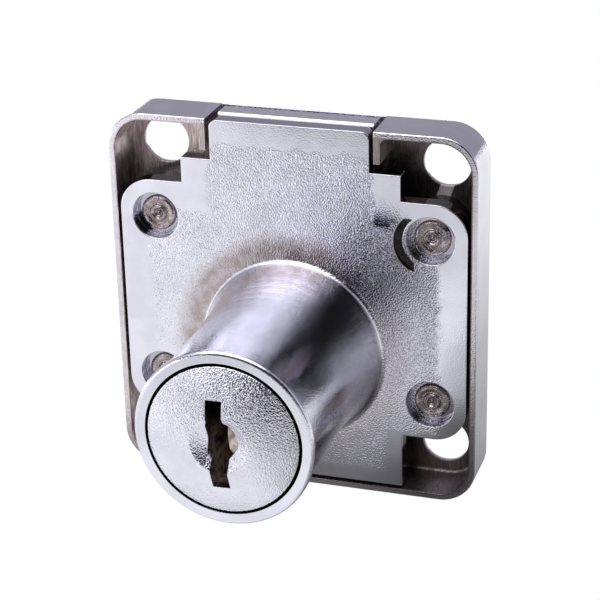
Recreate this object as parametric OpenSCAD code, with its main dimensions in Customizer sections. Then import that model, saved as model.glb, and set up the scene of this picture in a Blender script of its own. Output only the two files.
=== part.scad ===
// Square-bolt drawer lock: a sheet case, a cast front with its barrel, a keyed plug with
// wafers, and an eccentric pin that lifts a flat bolt through the top rim.
// Frame: origin on the barrel axis in the mounting face, key side towards -Y, the bolt
// is thrown towards +Z. Millimetres.

/* [Case] */
// Width of the case across X
case_w = 40; // [38:0.5:42]
// Height of the case along Z
case_h = 41; // [39:0.5:43]
// Depth of the case from rim to back
case_d = 6; // [5.5:0.1:7]
// Case centre above the barrel axis
case_up = 4.5; // [3.5:0.1:5.5]
// Sheet thickness
sheet = 0.7; // [0.6:0.05:1]
// Outside corner radius
corner_r = 4; // [3:0.25:5]
// Bend radius of the back edge
bend_r = 0.6; // [0.3:0.1:0.9]
// Radius of the rolled-over front edge of the rim
lip_r = 0.16; // [0.1:0.02:0.2]
// Radius of the screw holes
screw_r = 2.55; // [2:0.05:2.6]
// Screw hole spacing across X
screw_dx = 31; // [30:0.5:32]
// Screw hole spacing along Z
screw_dz = 32; // [31:0.5:33]

/* [Front plate] */
// Thickness of the plate
plate_t = 1.85; // [1.6:0.05:2]
// Width across the ears
ear_w = 37.9; // [37:0.1:38]
// Height across the ears
ear_h = 26.5; // [26:0.1:27]
// Corner radius of the ears
ear_r = 3.5; // [2.5:0.25:4.5]
// Rivet spacing across X
rivet_dx = 30.1; // [29.5:0.1:30.5]
// Rivet spacing along Z
rivet_dz = 18.5; // [18:0.1:19]
// Radius of the rivet counterbores
sink_r = 2.6; // [2.2:0.05:2.7]
// Depth of the rivet counterbores
sink_d = 1.2; // [0.8:0.1:1.3]

/* [Barrel and plug] */
// Length of the barrel in front of the mounting face
barrel_l = 22; // [20:0.5:26]
// Radius of the barrel behind its flange
barrel_r = 8.95; // [8.8:0.05:9.1]
// Radius of the front flange
flange_r = 9.3; // [9.2:0.05:9.6]
// Radius of the plug head
head_r = 8; // [7.8:0.05:8.1]
// Radius of the plug body
plug_r = 6.4; // [6.2:0.05:6.5]
// Height of the domed plug face, before its dish is cut
dome = 1.6; // [1.2:0.05:1.8]
// Number of wafers
wafers = 6; // [4:1:6]
// Distance from wafer to wafer
wafer_pitch = 2.5; // [2.4:0.05:2.6]
// Wafer thickness
wafer_t = 0.8; // [0.6:0.05:0.8]

/* [Bolt] */
// Width of the bolt
bolt_w = 17; // [16.5:0.1:17]
// Thickness of the bolt
bolt_t = 2.5; // [2.2:0.1:2.5]
// Distance of the drive pin from the axis; the bolt travels twice as far
throw_r = 4.2; // [3.8:0.1:4.4]
// Radius of the drive pin
pin_r = 1.25; // [1:0.05:1.4]

/* [Hidden] */
$fn = 64;
case_top = case_up + case_h / 2;
floor_y = case_d - sheet;
bolt_y = 4.9 - bolt_t;
bore_r = plug_r + 0.05;
head_y = -barrel_l + 3.5;
recess_y = 0.65;
wafer_y0 = -16.4;
root_r = 10.4;
dish_d = 0.9;
rivet_r = 1.2;
tail_r = 2.1;
tail_flat = 1.6;
pocket_x = 4.2;
// An eccentric pin moves a bolt along a sine; the slot is opened by the largest
// difference between that sine and an even travel, which is 0.211 of the throw radius.
slot_play = 0.211 * throw_r;
slot_hw = throw_r + pin_r + 0.25;
slot_hh = pin_r + slot_play + 0.07;

wafer_names = [for (i = [1:wafers]) str("wafer_", i)];
spring_names = [for (i = [1:wafers]) str("wafer_spring_", i)];

// ---- placing helpers ----

// A flat shape drawn in X and Z, standing from y0 back to y1.
module slab(y0, y1)
    translate([0, y1, 0]) rotate([90, 0, 0]) linear_extrude(y1 - y0) children();

// A profile of [radius, y] points turned about the barrel axis.
module turned(points)
    rotate([-90, 0, 0]) rotate_extrude() polygon(points);

// A cylinder along Y.
module rod(r, y0, y1, x = 0, z = 0)
    translate([x, y0, z]) rotate([-90, 0, 0]) cylinder(r = r, h = y1 - y0);

// A box between two corners.
module block(a, b)
    translate(a) cube(b - a);

// Two boxes and four round corners: a rounded rectangle centred at height z.
module rounded(w, h, r, y0, y1, z = 0) {
    block([-w / 2 + r, y0, z - h / 2], [w / 2 - r, y1, z + h / 2]);
    block([-w / 2, y0, z - h / 2 + r], [w / 2, y1, z + h / 2 - r]);
    for (sx = [-1, 1], sz = [-1, 1])
        rod(r, y0, y1, sx * (w / 2 - r), z + sz * (h / 2 - r));
}

module at_rivets()
    for (sx = [-1, 1], sz = [-1, 1])
        translate([sx * rivet_dx / 2, 0, case_up + sz * rivet_dz / 2]) children();

module at_screws()
    for (sx = [-1, 1], sz = [-1, 1])
        translate([sx * screw_dx / 2, 0, case_up + sz * screw_dz / 2]) children();

// ---- case ----

// Outer edge of the tray, from the rim round the bend to the back: [distance, y].
function tray_edge(out) =
    concat([for (a = [0:30:90]) [out - lip_r + lip_r * sin(a), lip_r - lip_r * cos(a)]],
           [for (a = [0:22.5:90])
               [out - bend_r + bend_r * cos(a), case_d - bend_r + bend_r * sin(a)]]);

// Section of the tray across one direction, symmetric about its centre.
module tray_section(out) {
    edge = tray_edge(out);
    polygon(concat(edge, [for (i = [len(edge) - 1:-1:0]) [-edge[i][0], edge[i][1]]]));
}

module tray_blank()
    translate([0, 0, case_up]) {
        translate([0, 0, -case_h / 2 + corner_r])
            linear_extrude(case_h - 2 * corner_r) tray_section(case_w / 2);
        translate([-case_w / 2 + corner_r, 0, 0]) rotate([90, 0, 90])
            linear_extrude(case_w - 2 * corner_r) rotate(90) mirror([0, 1])
                tray_section(case_h / 2);
        for (sx = [0, 1], sz = [0, 1])
            mirror([sx, 0, 0]) mirror([0, 0, sz])
                translate([case_w / 2 - corner_r, 0, case_h / 2 - corner_r])
                    rotate([-90, 0, 0]) rotate_extrude(angle = -90)
                        polygon(concat([[0, 0]], tray_edge(corner_r), [[0, case_d]]));
    }

// Turned-in tab beside the bolt, with a small gusset where it leaves the rim.
module tab()
    slab(0, floor_y + 0.1) {
        x = bolt_w / 2 + 0.55;
        polygon([[x, case_top - 3.45], [x + sheet, case_top - 3.45],
                 [x + sheet, case_top - sheet - 0.55], [x + sheet + 0.55, case_top - sheet],
                 [x + sheet + 0.55, case_top - 0.2], [x, case_top - 0.2]]);
    }

module rear_case()
    color("silver") {
        difference() {
            tray_blank();
            rounded(case_w - 2 * sheet, case_h - 2 * sheet, corner_r - sheet,
                    -1, floor_y, case_up);
            block([-bolt_w / 2 - 0.55, -1, case_top - 2],
                  [bolt_w / 2 + 0.55, floor_y, case_top + 1]);
            at_screws() rod(screw_r, floor_y - 1, case_d + 1);
            at_rivets() rod(rivet_r + 0.05, floor_y - 1, case_d + 1);
        }
        for (s = [0, 1])
            mirror([s, 0, 0])
                tab();
    }

// ---- cast front ----

module plate_blank() {
    rounded(ear_w, ear_h, ear_r, 0, plate_t, case_up);
    block([-11.88, 0, case_up], [11.88, plate_t, case_up + 16.05]);
    block([-12, 0, case_up - 19.35], [12, plate_t, case_up]);
    block([-8.58, 0, case_up], [8.58, plate_t, case_up + 19.6]);
    block([-7.78, 0, case_up], [7.78, plate_t, case_up + 20.4]);
    for (s = [-1, 1])
        rod(0.8, 0, plate_t, s * 7.78, case_up + 19.6);
}

// Barrel profile: a rolled front flange, a slight taper and a fillet at the plate.
function barrel_profile() = concat(
    [[0, -barrel_l], [flange_r - 0.34, -barrel_l], [flange_r - 0.12, -barrel_l + 0.06],
     [flange_r, -barrel_l + 0.22], [flange_r, -barrel_l + 0.68],
     [flange_r - 0.1, -barrel_l + 0.85], [barrel_r, -barrel_l + 1]],
    [for (i = [0:6]) [barrel_r + 0.85 * pow(i / 6, 2), -9 + 8.4 * i / 6]],
    [for (a = [15:15:90]) [root_r - 0.6 * cos(a), -0.6 + 0.6 * sin(a)]],
    [[root_r, 1], [0, 1]]);

// Crescent left beside one counterbore by a punch that missed it, with blunt ends.
module punch_mark()
    difference() {
        rod(3.45, -1, 0.35, -0.5, -0.35);
        rod(3.05, -2, 1, 0.1, -0.1);
        block([-1.7, -2, -5], [5, 1, 5]);
        block([-5, -2, 2.2], [5, 1, 5]);
    }

module front_body()
    color("gainsboro")
        difference() {
            union() {
                plate_blank();
                turned(barrel_profile());
                at_rivets() rod(3.2, 1, floor_y);
                for (s = [0, 1])
                    mirror([s, 0, 0])
                        block([bolt_w / 2 + 0.15, 1, case_up - 17],
                              [bolt_w / 2 + 1.65, floor_y - 0.05, case_up + 16]);
            }
            rod(head_r + 0.1, -barrel_l - 1, head_y);
            rod(bore_r, -barrel_l, plate_t + 1);
            rod(8, recess_y, plate_t + 1);
            block([-3.6, -18.1, -7.4], [3.6, -0.6, 7.4]);
            at_rivets() rod(sink_r, -1, sink_d);
            translate([rivet_dx / 2, 0, case_up + rivet_dz / 2])
                punch_mark();
            at_rivets() rod(rivet_r + 0.05, 0, floor_y + 1);
        }

// ---- rivets ----

module rivet()
    turned([[0, 0.82], [0.12, 0.84], [0.26, 1.02], [0.38, 1], [0.52, 0.76], [0.7, 0.66],
            [0.86, 0.72], [0.98, 0.9], [1.1, 0.94], [1.35, 0.84], [1.6, 0.82], [1.8, 0.88],
            [1.92, 1], [1.95, 1.1], [1.95, sink_d],
            [rivet_r, sink_d], [rivet_r, case_d], [2.1, case_d], [2, case_d + 0.3],
            [1.5, case_d + 0.5], [0, case_d + 0.55]]);

module case_rivets()
    color("tan") at_rivets() rivet();

// ---- plug ----

// Height of the plug's dome at a radius.
function dome_y(r) = -barrel_l - dome * (1 - pow(r / head_r, 2));

// Domed face with a round dish in its middle: [radius, y].
function face_profile() = concat(
    [for (r = [0:0.5:3]) [r, dome_y(3) + dish_d * (1 - r * r / 9)]],
    [for (i = [1:9]) let (r = 3 + (head_r - 3.2) * i / 9) [r, dome_y(r)]],
    [[head_r - 0.16, -barrel_l + 0.05], [head_r - 0.16, -barrel_l + 0.9],
     [head_r, -barrel_l + 1.1]]);

// Keyway drawn from the front: x to the right, z up. The shallow step beside it is
// only as deep as step_y.
keyway = [[-1.25, 4.6], [0.4, 4.65], [0.4, 2.4], [0.35, 0], [0.5, -1.2], [0.9, -1.7],
          [0.8, -3.1], [0.97, -4.7], [-0.8, -4.75], [-1, -3], [-0.9, -1.7],
          [-1.35, -1.1], [-1.25, 0.4], [-1.4, 1.8], [-1.25, 2.3]];
key_step = [[0.2, 2.4], [0.45, 2.35], [1.05, 2.05], [1.5, 1.3], [1.85, 0.4], [1.8, -0.3],
            [1.35, -1], [0.85, -1.65], [0.2, -1.6]];
step_y = -barrel_l + 0.5;

// Wafers work by turns downwards and upwards.
module wafer_place(k)
    translate([0, wafer_y0 + wafer_pitch * k, 0]) rotate([0, 180 * (k % 2), 0]) children();

// Room for one wafer, its ear and its spring.
module wafer_room() {
    t = wafer_t / 2 + 0.05;
    block([-3.25, -t, -7], [3.25, t, 7]);
    block([3, -t, -1.5], [5.05, t, 0.1]);
    translate([pocket_x, 0, 0]) cylinder(r = 0.62, h = 3.35);
}

module plug()
    color("lightgray")
        difference() {
            union() {
                turned(concat(face_profile(),
                    [[head_r, head_y - 0.05], [plug_r, head_y - 0.05], [plug_r, 0.55],
                     [tail_r, 0.55], [tail_r, 1.62], [1.4, 1.62], [1.4, 2.0],
                     [tail_r, 2.0], [tail_r, 2.2], [0, 2.2]]));
            }
            slab(-barrel_l - 3, -1.4) polygon(keyway);
            slab(-barrel_l - 3, step_y) polygon(key_step);
            for (k = [0:wafers - 1]) wafer_place(k) wafer_room();
            for (s = [0, 1])
                mirror([s, 0, 0]) block([tail_flat, 0.55, -3], [3, 1.62, 3]);
        }

module wafer(k)
    color("gold")
        wafer_place(k)
            difference() {
                union() {
                    intersection() {
                        rod(plug_r - 0.08, -wafer_t / 2, wafer_t / 2);
                        block([-3.15, -1, -7], [3.15, 1, 7]);
                    }
                    block([3, -wafer_t / 2, -0.8], [4.95, wafer_t / 2, 0]);
                }
                block([-1.45, -1, -2.9 + 0.25 * (k % 3)], [1.95, 1, 3.4 + 0.25 * (k % 3)]);
            }

// ---- wafer springs ----

spring_r = 0.42;
wire_r = 0.11;
spring_l = 3.3;
spring_turns = 7;

// Level section through a coiled wire: each point of the round wire is carried round
// the coil by the angle that its height stands for.
function coil_section() =
    let (turn = 360 * spring_turns / (spring_l - 2 * wire_r))
    [for (a = [0:45:315]) let (p = spring_r + wire_r * cos(a), b = turn * wire_r * sin(a))
        [p * cos(b), p * sin(b)]];

module wafer_spring(k)
    color("steelblue")
        wafer_place(k) translate([pocket_x, 0, 0.02])
            linear_extrude(spring_l, twist = -360 * spring_turns, slices = 10 * spring_turns,
                           $fn = 8)
                polygon(coil_section());

// ---- drive ----

module drive_cam()
    color("gray")
        difference() {
            rod(7.6, 0.7, 1.55);
            intersection() {
                rod(tail_r + 0.03, 0, 2);
                block([-tail_flat - 0.03, 0, -3], [tail_flat + 0.03, 2, 3]);
            }
            rod(pin_r + 0.01, 0, 2, 0, -throw_r);
        }

module drive_pin()
    color("dimgray")
        translate([0, 0, -throw_r])
            turned([[0, 0.75], [pin_r, 0.75], [pin_r, 4.55], [pin_r - 0.2, 4.75], [0, 4.75]]);

module retaining_clip()
    color("darkgray")
        difference() {
            rod(2.6, 1.66, 1.96);
            rod(1.45, 1, 3);
            block([-0.95, 1, 0], [0.95, 3, 3]);
        }

// ---- bolt ----

module bolt()
    color("whitesmoke")
        difference() {
            translate([-bolt_w / 2, 0, 0]) rotate([90, 0, 90])
                linear_extrude(bolt_w)
                    polygon([[bolt_y, -8.5], [bolt_y + bolt_t, -8.5],
                             [bolt_y + bolt_t, case_top - 0.2], [bolt_y + bolt_t - 0.2, case_top],
                             [bolt_y + 0.22, case_top], [bolt_y, case_top - 0.22]]);
            block([-slot_hw, 0, -throw_r - slot_hh], [slot_hw, case_d, -throw_r + slot_hh]);
        }

rear_case();
front_body();
case_rivets();
bolt();
plug();
drive_cam();
drive_pin();
retaining_clip();
for (k = [0:wafers - 1]) {
    wafer(k);
    wafer_spring(k);
}
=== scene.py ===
"""Looks of the square-bolt drawer lock: camera, light, chrome and the fine detail."""
import math

import bpy
from mathutils import Matrix, Vector


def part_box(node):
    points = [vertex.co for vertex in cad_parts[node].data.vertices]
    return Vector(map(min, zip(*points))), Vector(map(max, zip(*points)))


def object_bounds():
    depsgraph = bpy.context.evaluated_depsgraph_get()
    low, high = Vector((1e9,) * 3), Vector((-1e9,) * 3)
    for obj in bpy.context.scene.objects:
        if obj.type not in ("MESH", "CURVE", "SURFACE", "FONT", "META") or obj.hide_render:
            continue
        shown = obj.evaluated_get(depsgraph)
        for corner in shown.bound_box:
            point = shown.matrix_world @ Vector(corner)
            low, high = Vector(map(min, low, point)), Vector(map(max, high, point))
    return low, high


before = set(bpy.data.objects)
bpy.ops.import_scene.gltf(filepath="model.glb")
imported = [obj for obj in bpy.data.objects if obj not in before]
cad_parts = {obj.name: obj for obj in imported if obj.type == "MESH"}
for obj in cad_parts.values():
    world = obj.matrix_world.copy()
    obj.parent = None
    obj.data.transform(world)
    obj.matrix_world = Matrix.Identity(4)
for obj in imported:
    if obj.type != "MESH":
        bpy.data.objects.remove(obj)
CAD_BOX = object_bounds()

# Camera: turned round the lock, metres and degrees.
CAMERA_AZ, CAMERA_EL, CAMERA_ROLL = 18.479, 23.213, -1.414
CAMERA_DISTANCE = 0.208987
CAMERA_LENS = 118.87
CAMERA_AIM = Vector((0.000907, 0.0, 0.005738))


def make_camera():
    az, el, roll = (math.radians(v) for v in (CAMERA_AZ, CAMERA_EL, CAMERA_ROLL))
    back = Vector((math.sin(az) * math.cos(el), -math.cos(az) * math.cos(el), math.sin(el)))
    right = (-back).cross(Vector((0, 0, 1))).normalized()
    up = right.cross(-back)
    turned_right = math.cos(roll) * right + math.sin(roll) * up
    turned_up = math.cos(roll) * up - math.sin(roll) * right
    data = bpy.data.cameras.new("camera")
    data.sensor_width = 36.0
    data.lens = CAMERA_LENS
    data.clip_start = 0.01
    camera = bpy.data.objects.new("camera", data)
    axes = Matrix((turned_right, turned_up, back)).transposed()
    camera.matrix_world = Matrix.Translation(CAMERA_AIM + back * CAMERA_DISTANCE) @ axes.to_4x4()
    bpy.context.scene.collection.objects.link(camera)
    bpy.context.scene.camera = camera


make_camera()


# ---- sizes in millimetres, read from the frame or given ----

def box_mm(node):
    low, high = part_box(node)
    return [c * 1000.0 for c in low], [c * 1000.0 for c in high]


CASE_LOW, CASE_HIGH = box_mm("rear_case")
BODY_LOW, BODY_HIGH = box_mm("front_body")
RIVET_HIGH = box_mm("case_rivets")[1]
MID_Z = (CASE_LOW[2] + CASE_HIGH[2]) / 2
CASE_HALF_X = (CASE_HIGH[0] - CASE_LOW[0]) / 2
CASE_HALF_Z = (CASE_HIGH[2] - CASE_LOW[2]) / 2
EAR_HALF_X = (BODY_HIGH[0] - BODY_LOW[0]) / 2
REAR_HEAD_R = 2.1
RIVET_X = RIVET_HIGH[0] - REAR_HEAD_R
RIVET_Z = RIVET_HIGH[2] - REAR_HEAD_R
BARREL_FRONT = BODY_LOW[1]
SHEET = 0.7
CORNER_R = 4.0
PANEL_INSET = 2.3
EAR_HALF_Z = 13.25
STEM_HALF_X = 12.0
# Radii between which a wall turns black, a painted shade: the bore's in the body, the plug's own
# side.
BORE_FADE = (8.14, 8.12)
PLUG_FADE = (7.80, 7.83)


# ---- node helpers ----

class Graph:
    """A node tree with short calls for the nodes used here."""

    def __init__(self, tree):
        self.tree = tree
        tree.nodes.clear()

    def node(self, kind, **settings):
        made = self.tree.nodes.new(kind)
        for name, value in settings.items():
            setattr(made, name, value)
        return made

    def link(self, out, into):
        self.tree.links.new(out, into)

    def feed(self, socket, value):
        if hasattr(value, "is_output"):
            self.link(value, socket)
        elif value is not None:
            socket.default_value = value

    def math(self, operation, a, b=None):
        made = self.node("ShaderNodeMath", operation=operation)
        self.feed(made.inputs[0], a)
        self.feed(made.inputs[1], b)
        return made.outputs[0]

    def span(self, value, low, high, to_low=0.0, to_high=1.0):
        made = self.node("ShaderNodeMapRange", interpolation_type="SMOOTHSTEP")
        for socket, v in zip(made.inputs, (value, low, high, to_low, to_high)):
            self.feed(socket, v)
        return made.outputs[0]

    def band(self, value, low, high, fade_low, fade_high=None):
        rise = self.span(value, low - fade_low, low)
        fall = self.span(value, high, high + (fade_high or fade_low), 1.0, 0.0)
        return self.math("MULTIPLY", rise, fall)

    def mix(self, factor, a, b):
        made = self.node("ShaderNodeMix", data_type="RGBA")
        self.feed(made.inputs[0], factor)
        self.feed(made.inputs[6], rgba(a))
        self.feed(made.inputs[7], rgba(b))
        return made.outputs[2]

    def noise(self, scale, where, detail=2.0, roughness=0.5):
        made = self.node("ShaderNodeTexNoise")
        self.feed(made.inputs["Vector"], where)
        made.inputs["Scale"].default_value = scale
        made.inputs["Detail"].default_value = detail
        made.inputs["Roughness"].default_value = roughness
        return made.outputs["Fac"]

    def place(self):
        """Object coordinates in millimetres: the vector and its three parts."""
        scaled = self.node("ShaderNodeVectorMath", operation="SCALE")
        self.link(self.node("ShaderNodeTexCoord").outputs["Object"], scaled.inputs[0])
        scaled.inputs["Scale"].default_value = 1000.0
        where = scaled.outputs[0]
        parts = self.node("ShaderNodeSeparateXYZ")
        self.link(where, parts.inputs[0])
        return (where,) + tuple(parts.outputs[i] for i in range(3))

    def stretched(self, where, factors):
        made = self.node("ShaderNodeVectorMath", operation="MULTIPLY")
        self.link(where, made.inputs[0])
        made.inputs[1].default_value = factors
        return made.outputs[0]

    def length2(self, a, b):
        squares = self.math("ADD", self.math("MULTIPLY", a, a), self.math("MULTIPLY", b, b))
        return self.math("SQRT", squares)


def rgba(colour):
    if isinstance(colour, tuple) and len(colour) == 3:
        return colour + (1.0,)
    return colour


def new_material(name):
    material = bpy.data.materials.new(name)
    material.use_nodes = True
    return material, Graph(material.node_tree)


# ---- light ----

def direction(az, el):
    az, el = math.radians(az), math.radians(el)
    return (math.sin(az) * math.cos(el), -math.cos(az) * math.cos(el), math.sin(el))


ROOM = (0.92, 0.92, 0.97)
# Soft patches of the studio round the lock: azimuth, elevation, half width where it has
# faded out, half width where it is full, brightness there, tint.
COOL = (0.98, 0.96, 1.09)
WHITE = (1.0, 0.99, 1.01)
PATCHES = [
    ("back right", 150, 25, 80, 30, 0.33, COOL),
    ("back left", -150, 25, 75, 30, 0.38, COOL),
    ("dark side of the room", 16, 28, 56, 38, 0.02, WHITE),
    ("wall on the left", -26, 2, 34, 20, 0.08, COOL),
    ("window on the left", -25, 34, 24, 18, 1.75, WHITE),
    ("softbox overhead", -35, 76, 40, 20, 2.8, WHITE),
]


def make_world():
    world = bpy.data.worlds.new("studio")
    bpy.context.scene.world = world
    world.use_nodes = True
    g = Graph(world.node_tree)
    way = g.node("ShaderNodeTexCoord").outputs["Generated"]
    colour = ROOM
    for _, az, el, outer, inner, grey, tint in PATCHES:
        dot = g.node("ShaderNodeVectorMath", operation="DOT_PRODUCT")
        g.link(way, dot.inputs[0])
        dot.inputs[1].default_value = direction(az, el)
        inside = g.span(dot.outputs["Value"], math.cos(math.radians(outer)),
                        math.cos(math.radians(inner)))
        colour = g.mix(inside, colour, tuple(grey * t for t in tint))
    shade = g.node("ShaderNodeBackground")
    g.feed(shade.inputs["Color"], colour)
    g.link(shade.outputs[0], g.node("ShaderNodeOutputWorld").inputs[0])


def level_plane(name, half, z, material):
    mesh = bpy.data.meshes.new(name)
    mesh.from_pydata([(-half, -half, z), (half, -half, z), (half, half, z), (-half, half, z)],
                     [], [(0, 1, 2, 3)])
    mesh.materials.append(material)
    plane = bpy.data.objects.new(name, mesh)
    bpy.context.scene.collection.objects.link(plane)
    return plane


def glow_output(g, strength):
    glow = g.node("ShaderNodeEmission")
    glow.inputs["Color"].default_value = (1.0, 1.0, 1.0, 1.0)
    g.feed(glow.inputs["Strength"], strength)
    g.link(glow.outputs[0], g.node("ShaderNodeOutputMaterial").inputs[0])


# Half widths of the table top and of the shadow card over it, and how far each lies under
# the lock, in metres.
TABLE_HALF, TABLE_DROP = 1.5, 0.0002
CARD_HALF, CARD_DROP = 1.45, 0.0001


def make_table():
    """A white table top; over it a card with painted shadows and light, as the chrome sees them.

    Places on the card are in millimetres from the barrel's axis and the case's front. Each
    shadow takes the share of the light that stands beside it; the camera doesn't see the card.
    """
    z = CAD_BOX[0][2]
    material, g = new_material("table_white")
    glow_output(g, 1.0)
    level_plane("table", TABLE_HALF, z - TABLE_DROP, material)

    material, g = new_material("table_shadow")
    x, y = g.place()[1:3]
    under_barrel = g.math("MULTIPLY", g.band(x, -4.0, 13.0, 14.0, 16.0),
                          g.band(y, BARREL_FRONT + 4.0, 2.0, 9.0, 20.0))
    round_case = g.math("MULTIPLY", g.band(x, CASE_LOW[0], CASE_HIGH[0] + 2.0, 20.0, 60.0),
                        g.band(y, -2.0, 14.0, 14.0, 90.0))
    front_right = g.math("MULTIPLY", g.band(x, 16.0, 42.0, 12.0, 30.0),
                         g.band(y, -40.0, -6.0, 24.0, 16.0))
    across = g.math("SUBTRACT", x, g.math("MULTIPLY", y, 0.42))
    dark_end = g.math("MULTIPLY", g.span(y, -90.0, -160.0), g.span(across, -14.0, 10.0))
    distance = g.length2(x, y)
    # Painted light: the card grows brighter towards the window.
    near_window = g.math("MULTIPLY", g.span(distance, 90.0, 220.0), g.span(across, 10.0, -40.0))
    light = g.math("ADD", 1.0, g.math("MULTIPLY", near_window, 0.9))
    middle = g.math("MULTIPLY", g.span(y, -44.0, -70.0), g.span(x, -42.0, -18.0))
    for shadow, depth in ((under_barrel, 0.62), (round_case, 0.55), (front_right, 0.7),
                          (middle, 0.22), (dark_end, 0.93)):
        light = g.math("MULTIPLY", light,
                       g.math("SUBTRACT", 1.0, g.math("MULTIPLY", shadow, depth)))
    glow_output(g, light)
    shadow = level_plane("table_shadow", CARD_HALF, z - CARD_DROP, material)
    shadow.visible_camera = False


make_world()
make_table()
bpy.context.scene.view_settings.view_transform = "Standard"


# ---- materials ----

CHROME = (0.76, 0.755, 0.85)
SHADED = (0.46, 0.45, 0.52)
# Near black, used as painted shade.
PAINTED_SHADE = (0.05, 0.044, 0.046)
HALO = (0.40, 0.335, 0.33)
SHADOW_BLACK = (0.015, 0.015, 0.018)
NICKEL = (0.50, 0.43, 0.44)
BRUISE = (0.30, 0.25, 0.25)
POST_HIGHLIGHT = (1.0, 0.92, 0.94)
SHEET_CHROME = (0.72, 0.71, 0.80)
INSIDE_DARK = (0.34, 0.28, 0.28)
INSIDE_PALE = (0.82, 0.70, 0.70)
LIP_WARM = (0.60, 0.52, 0.53)
CREASE_HIGHLIGHT = (0.9, 0.84, 0.85)
REFLECTED_PALE = (1.0, 0.90, 0.92)
CUT_DARK = (0.32, 0.27, 0.25)
CUT_PALE = (0.85, 0.74, 0.68)

# The shader rounds the front body's edges by this much, in metres: its mesh stays square.
SOFT_EDGE = 0.00016
SOFT_EDGE_SAMPLES = 8
# Depth that a bump's full strength stands for, in metres.
PEEL_DEPTH = 0.0002
GRAIN_DEPTH = 0.00005


def plated(g, colour, rough, normal=None, metallic=1.0):
    """Closes a metal material: colour, roughness and metallic may be values or sockets."""
    shader = g.node("ShaderNodeBsdfPrincipled")
    g.feed(shader.inputs["Metallic"], metallic)
    g.feed(shader.inputs["Base Color"], rgba(colour))
    g.feed(shader.inputs["Roughness"], rough)
    if normal is not None:
        g.link(normal, shader.inputs["Normal"])
    g.link(shader.outputs[0], g.node("ShaderNodeOutputMaterial").inputs[0])


def bump(g, height, strength, distance=PEEL_DEPTH, under=None):
    made = g.node("ShaderNodeBump")
    g.feed(made.inputs["Strength"], strength)
    made.inputs["Distance"].default_value = distance
    g.link(height, made.inputs["Height"])
    if under is not None:
        g.link(under, made.inputs["Normal"])
    return made.outputs[0]


def drift(g, where, colour, amount=0.05):
    """The same colour with slow, slight changes of tone across the surface."""
    low = tuple(c * (1.0 - amount) for c in colour)
    high = tuple(min(1.0, c * (1.0 + amount)) for c in colour)
    return g.mix(g.span(g.noise(0.26, where, 3.0), 0.35, 0.65), low, high)


def peel(g, where):
    """Height of the fine orange peel that a plated casting has: pits and pimples."""
    return g.math("ADD", g.noise(6.0, where, 0.0),
                  g.math("MULTIPLY", g.noise(11.0, where, 0.0), 0.5))


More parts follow.
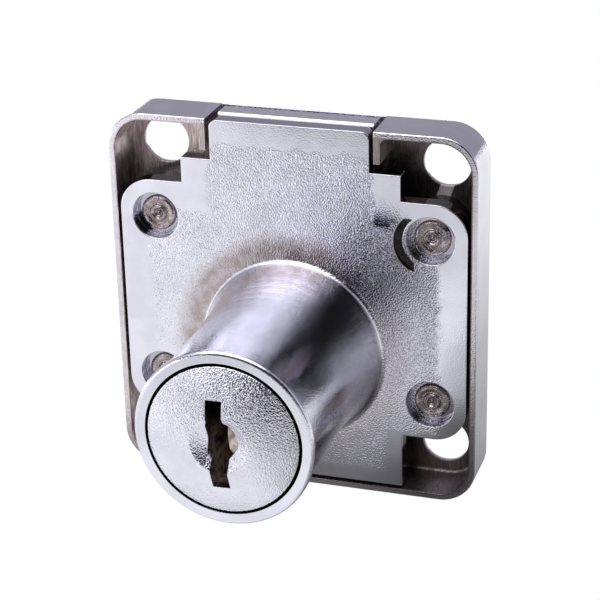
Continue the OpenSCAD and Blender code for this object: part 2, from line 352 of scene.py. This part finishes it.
def body_material():
    """Chromed casting: pebbled panel, smooth border, sides in painted shade, smoky barrel root.

    `shade` is a painted dark reflection on the plate beside the upper right rivet and `post` a
    painted highlight on the post behind it; they stay when seen from elsewhere.
    """
    material, g = new_material("chromed_casting")
    where, x, y, z = g.place()
    side = g.math("ABSOLUTE", x)
    up = g.math("SUBTRACT", z, MID_Z)
    radius = g.length2(x, z)
    on_plate = g.span(y, -0.4, -0.1)
    ragged = g.math("MULTIPLY", g.math("SUBTRACT", g.noise(0.7, where, 2.0), 0.5), 2.0)
    far = g.math("ADD", side, ragged)
    ears = g.math("MULTIPLY", g.span(far, EAR_HALF_X - PANEL_INSET, EAR_HALF_X - 3.6, 0.0, 1.0),
                  g.band(g.math("ADD", up, ragged), 0.9 - EAR_HALF_Z, EAR_HALF_Z - 3.4, 0.9))
    tower = g.math("MULTIPLY", g.span(far, 9.4, 8.2, 0.0, 1.0),
                   g.band(g.math("ADD", up, ragged), -9.0, 17.2, 0.9))
    stem = g.math("MULTIPLY", g.span(far, STEM_HALF_X - 1.2, STEM_HALF_X - 2.2, 0.0, 1.0),
                  g.band(up, -17.4, 0.0, 0.9))
    panel = g.math("MULTIPLY", g.math("MAXIMUM", g.math("MAXIMUM", ears, tower), stem), on_plate)
    on_barrel = g.span(y, -0.6, -1.2)
    pebble = g.math("ADD", g.math("MULTIPLY", panel, 0.21), g.math("MULTIPLY", on_barrel, 0.05))
    pebble = g.math("ADD", pebble, 0.03)

    ring = g.band(radius, 10.2, 11.5, 0.1, 2.2)
    root = g.math("SUBTRACT", g.span(y, -3.4, -0.6), on_plate)
    patchy = g.span(g.noise(0.8, where, 3.0), 0.3, 0.7, 0.6, 1.0)
    upper_left = g.span(g.math("SUBTRACT", z, x), -6.0, 9.0, 0.35, 0.95)
    smoke = g.math("MULTIPLY", g.math("MULTIPLY", ring, on_plate), upper_left)
    smoke = g.math("MULTIPLY", g.math("MAXIMUM", smoke, g.math("MULTIPLY", root, 0.22)), patchy)
    colour = g.mix(smoke, drift(g, where, CHROME), HALO)

    from_rivet_x = g.math("SUBTRACT", side, RIVET_X)
    from_rivet_z = g.math("SUBTRACT", g.math("ABSOLUTE", up), RIVET_Z - MID_Z)
    from_rivet = g.length2(from_rivet_x, from_rivet_z)
    # Painted shade: every surface behind the plate's face is dark.
    edge = g.span(y, 0.2, 0.35)
    colour = g.mix(edge, colour, PAINTED_SHADE)
    # Painted shade, lighter: behind the face, the rivet posts and the top take the shaded chrome
    # tone.
    lighter_shade = g.math("MAXIMUM", g.span(from_rivet, 3.1, 2.9), g.span(up, 16.6, 17.2))
    colour = g.mix(g.math("MULTIPLY", edge, lighter_shade), colour, SHADED)
    # Painted highlight on the side of the post behind the upper right rivet, also less metallic.
    post = g.math("MULTIPLY", g.math("MULTIPLY", edge, g.span(from_rivet, 3.1, 2.9)),
                  g.math("MULTIPLY", g.span(z, RIVET_Z + 1.6, RIVET_Z + 2.0), g.span(x, 0.0, 1.0)))
    colour = g.mix(post, colour, POST_HIGHLIGHT)
    # Painted reflection: a dark patch on the plate left of and below the upper right rivet.
    from_shade = g.length2(g.math("SUBTRACT", x, RIVET_X - 5.5),
                           g.math("SUBTRACT", z, RIVET_Z - 3.0))
    shade = g.math("MULTIPLY", g.span(from_shade, 7.5, 1.5, 0.0, 0.85), on_plate)
    colour = g.mix(shade, colour, SHADED)
    # Painted shade on the counterbore walls round the rivets.
    counterbore_shade = g.math("MULTIPLY", g.span(y, 0.05, 0.2), g.band(from_rivet, 2.9, 4.6, 0.05))
    colour = g.mix(counterbore_shade, colour, PAINTED_SHADE)
    # Painted shade: the bore's wall is black.
    colour = g.mix(g.span(radius, *BORE_FADE), colour, SHADOW_BLACK)

    soft_edge = g.node("ShaderNodeBevel", samples=SOFT_EDGE_SAMPLES)
    soft_edge.inputs["Radius"].default_value = SOFT_EDGE
    dents = bump(g, g.noise(0.35, where, 2.0), 0.03, under=soft_edge.outputs[0])
    normal = bump(g, peel(g, where), pebble, under=dents)
    plated(g, colour, g.span(g.noise(0.3, where, 2.0), 0.3, 0.7, 0.015, 0.045), normal,
           g.math("SUBTRACT", 1.0, g.math("MULTIPLY", post, 0.6)))
    return material


def case_material():
    """Plated sheet: bright outside, streaked and brushed inside, a warm front lip.

    `floor_reflection` is a painted reflection: a pale patch on the floor under the upper right
    ear.
    """
    material, g = new_material("plated_sheet")
    where, x, y, z = g.place()
    side = g.math("ABSOLUTE", x)
    up = g.math("ABSOLUTE", g.math("SUBTRACT", z, MID_Z))
    past_x = g.math("MAXIMUM", g.math("SUBTRACT", side, CASE_HALF_X - CORNER_R), 0.0)
    past_z = g.math("MAXIMUM", g.math("SUBTRACT", up, CASE_HALF_Z - CORNER_R), 0.0)
    from_wall = g.math("SUBTRACT", CORNER_R, g.length2(past_x, past_z))
    inside = g.math("MULTIPLY", g.span(from_wall, SHEET - 0.2, SHEET - 0.08),
                    g.span(y, CASE_HIGH[1] - 0.3, CASE_HIGH[1] - 0.45))
    lip = g.span(y, 0.15, 0.04)
    streaks = g.noise(1.0, g.stretched(where, (9.0, 1.0, 0.7)), 3.0, 0.6)
    inside_tone = g.mix(g.span(streaks, 0.3, 0.7), INSIDE_DARK, INSIDE_PALE)
    # Painted shade: the tray's inside darkens towards the right.
    inside_tone = g.mix(g.span(x, 4.0, 14.0, 0.0, 0.65), inside_tone, PAINTED_SHADE)
    worn = g.span(g.noise(1.8, where, 3.0), 0.4, 0.6, 0.35, 0.95)
    low_down = g.span(z, CASE_HIGH[2] - 3.0, CASE_LOW[2] + 2.0, 0.3, 1.0)
    outside = drift(g, where, SHEET_CHROME)
    colour = g.mix(g.math("MULTIPLY", g.math("MULTIPLY", lip, worn), low_down), outside, LIP_WARM)
    colour = g.mix(inside, colour, inside_tone)
    # Painted highlight: a pale line along the inner bend of the tray's walls, broken into patches.
    crease = g.math("MULTIPLY", g.span(y, CASE_HIGH[1] - SHEET - 0.3, CASE_HIGH[1] - SHEET - 0.1),
                    g.span(from_wall, SHEET + 0.25, SHEET + 0.1))
    lit_crease = g.math("MULTIPLY", g.math("MULTIPLY", crease, inside), worn)
    colour = g.mix(lit_crease, colour, CREASE_HIGHLIGHT)
    # Painted reflection: a pale patch on the tray's floor under the upper right ear, also less
    # metallic.
    past_ear = g.math("SUBTRACT", z, MID_Z + EAR_HALF_Z)
    slant = g.math("ADD", side, g.math("MULTIPLY", past_ear, -0.35))
    floor_reflection = g.math("MULTIPLY", g.band(past_ear, -1.2, 0.4, 0.1), g.band(slant, 14.7, 16.1, 0.1))
    floor_reflection = g.math("MULTIPLY", g.math("MULTIPLY", floor_reflection, inside), g.span(x, 0.0, 1.0))
    colour = g.mix(floor_reflection, colour, REFLECTED_PALE)
    dull = g.math("SUBTRACT", 1.0, g.math("ADD", g.math("MULTIPLY", inside, 0.10),
                                          g.math("MULTIPLY", floor_reflection, 0.75)))
    rough = g.math("ADD", 0.10, g.math("MULTIPLY", inside, 0.2))
    grain = bump(g, streaks, g.math("ADD", 0.02, g.math("MULTIPLY", inside, 0.25)),
                 GRAIN_DEPTH)
    plated(g, colour, rough, bump(g, peel(g, where), 0.09, under=grain), dull)
    return material


def plug_material():
    """Chromed brass: pebbled face, and a keyway patchy below and in black painted shade above."""
    material, g = new_material("chromed_plug")
    where, x, y, z = g.place()
    radius = g.length2(x, z)
    deep = g.math("MULTIPLY", g.span(y, BARREL_FRONT - 0.25, BARREL_FRONT + 0.3),
                  g.span(radius, 7.0, 6.2))
    cut = g.mix(g.span(g.noise(1.2, where, 3.0), 0.35, 0.65), CUT_DARK, CUT_PALE)
    # Painted shade: the keyway turns black towards its top.
    cut = g.mix(g.span(z, 0.2, 2.2), cut, SHADOW_BLACK)
    colour = g.mix(deep, drift(g, where, CHROME), cut)
    # Painted shade: the plug's side is black in the gap round it.
    colour = g.mix(g.span(radius, *PLUG_FADE), colour, SHADOW_BLACK)
    gloss = g.span(g.noise(0.5, where, 2.0), 0.3, 0.7, 0.05, 0.09)
    normal = bump(g, peel(g, where), 0.34)
    plated(g, colour, g.math("ADD", gloss, g.math("MULTIPLY", deep, 0.4)), normal)
    return material


def rivet_material():
    """Nickelled rivet heads, dull and a little bruised by the punch."""
    material, g = new_material("rivet_nickel")
    where = g.place()[0]
    blotch = g.span(g.noise(1.4, where, 3.0), 0.35, 0.65)
    colour = g.mix(blotch, NICKEL, BRUISE)
    bruised = bump(g, g.noise(1.3, where, 3.0, 0.6), 0.5)
    plated(g, colour, g.span(blotch, 0.0, 1.0, 0.16, 0.3),
           bump(g, peel(g, where), 0.12, under=bruised))
    return material


def metal_material(name, colour, rough, grain, brushed=(1.0, 1.0, 1.0)):
    """Other metals: a fine grain, brushed along an axis where one factor is small."""
    material, g = new_material(name)
    where = g.place()[0]
    streaks = g.noise(6.0, g.stretched(where, brushed), 2.0, 0.6)
    tone = tuple(c * 0.8 for c in colour)
    mixed = g.mix(g.span(streaks, 0.3, 0.7), tone, drift(g, where, colour))
    plated(g, mixed, g.span(streaks, 0.3, 0.7, rough * 0.8, rough * 1.2),
           bump(g, streaks, grain, GRAIN_DEPTH))
    return material


MATERIALS = {
    "rear_case": case_material(),
    "front_body": body_material(),
    "case_rivets": rivet_material(),
    "bolt": metal_material("bolt_chrome", (0.84, 0.83, 0.92), 0.26, 0.1, (0.15, 1.0, 1.0)),
    "plug": plug_material(),
    "drive_cam": metal_material("cam_steel", (0.45, 0.45, 0.46), 0.32, 0.3, (1.0, 1.0, 0.1)),
    "drive_pin": metal_material("pin_steel", (0.55, 0.55, 0.56), 0.22, 0.2, (1.0, 0.1, 1.0)),
    "retaining_clip": metal_material("clip_steel", (0.16, 0.16, 0.17), 0.32, 0.2),
    "wafer": metal_material("wafer_brass", (0.40, 0.32, 0.20), 0.32, 0.3, (1.0, 1.0, 0.15)),
    "wafer_spring": metal_material("spring_wire", (0.5, 0.5, 0.52), 0.2, 0.1),
}


def dress_nodes():
    for name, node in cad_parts.items():
        kind = name.rstrip("_0123456789")
        node.data.materials.clear()
        node.data.materials.append(MATERIALS[kind])


dress_nodes()


# ---- rounded edges ----

# Width of the rounding on the sharp edges of each bigger part, in metres. The front body is
# not among them: a mesh bevel left faults in it, so its material rounds its edges instead.
ROUNDED = {
    "rear_case": 0.00006,
    "bolt": 0.00012,
    "case_rivets": 0.00006,
    "plug": 0.00005,
}


WELD_DISTANCE = 1e-6
FLAT_DEGREES = 0.5
SHARP_DEGREES = 32.0
ROUND_SEGMENTS = 3
NORMAL_WEIGHT = 80


def round_edges(name, width):
    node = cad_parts[name]
    weld = node.modifiers.new("weld", "WELD")
    weld.merge_threshold = WELD_DISTANCE
    flat = node.modifiers.new("flat", "DECIMATE")
    flat.decimate_type = "DISSOLVE"
    flat.angle_limit = math.radians(FLAT_DEGREES)
    rounding = node.modifiers.new("rounding", "BEVEL")
    rounding.width = width
    rounding.segments = ROUND_SEGMENTS
    rounding.limit_method = "ANGLE"
    rounding.angle_limit = math.radians(SHARP_DEGREES)
    rounding.miter_outer = "MITER_ARC"
    rounding.use_clamp_overlap = False
    normals = node.modifiers.new("normals", "WEIGHTED_NORMAL")
    normals.keep_sharp = False
    normals.weight = NORMAL_WEIGHT


for part, width in ROUNDED.items():
    round_edges(part, width)
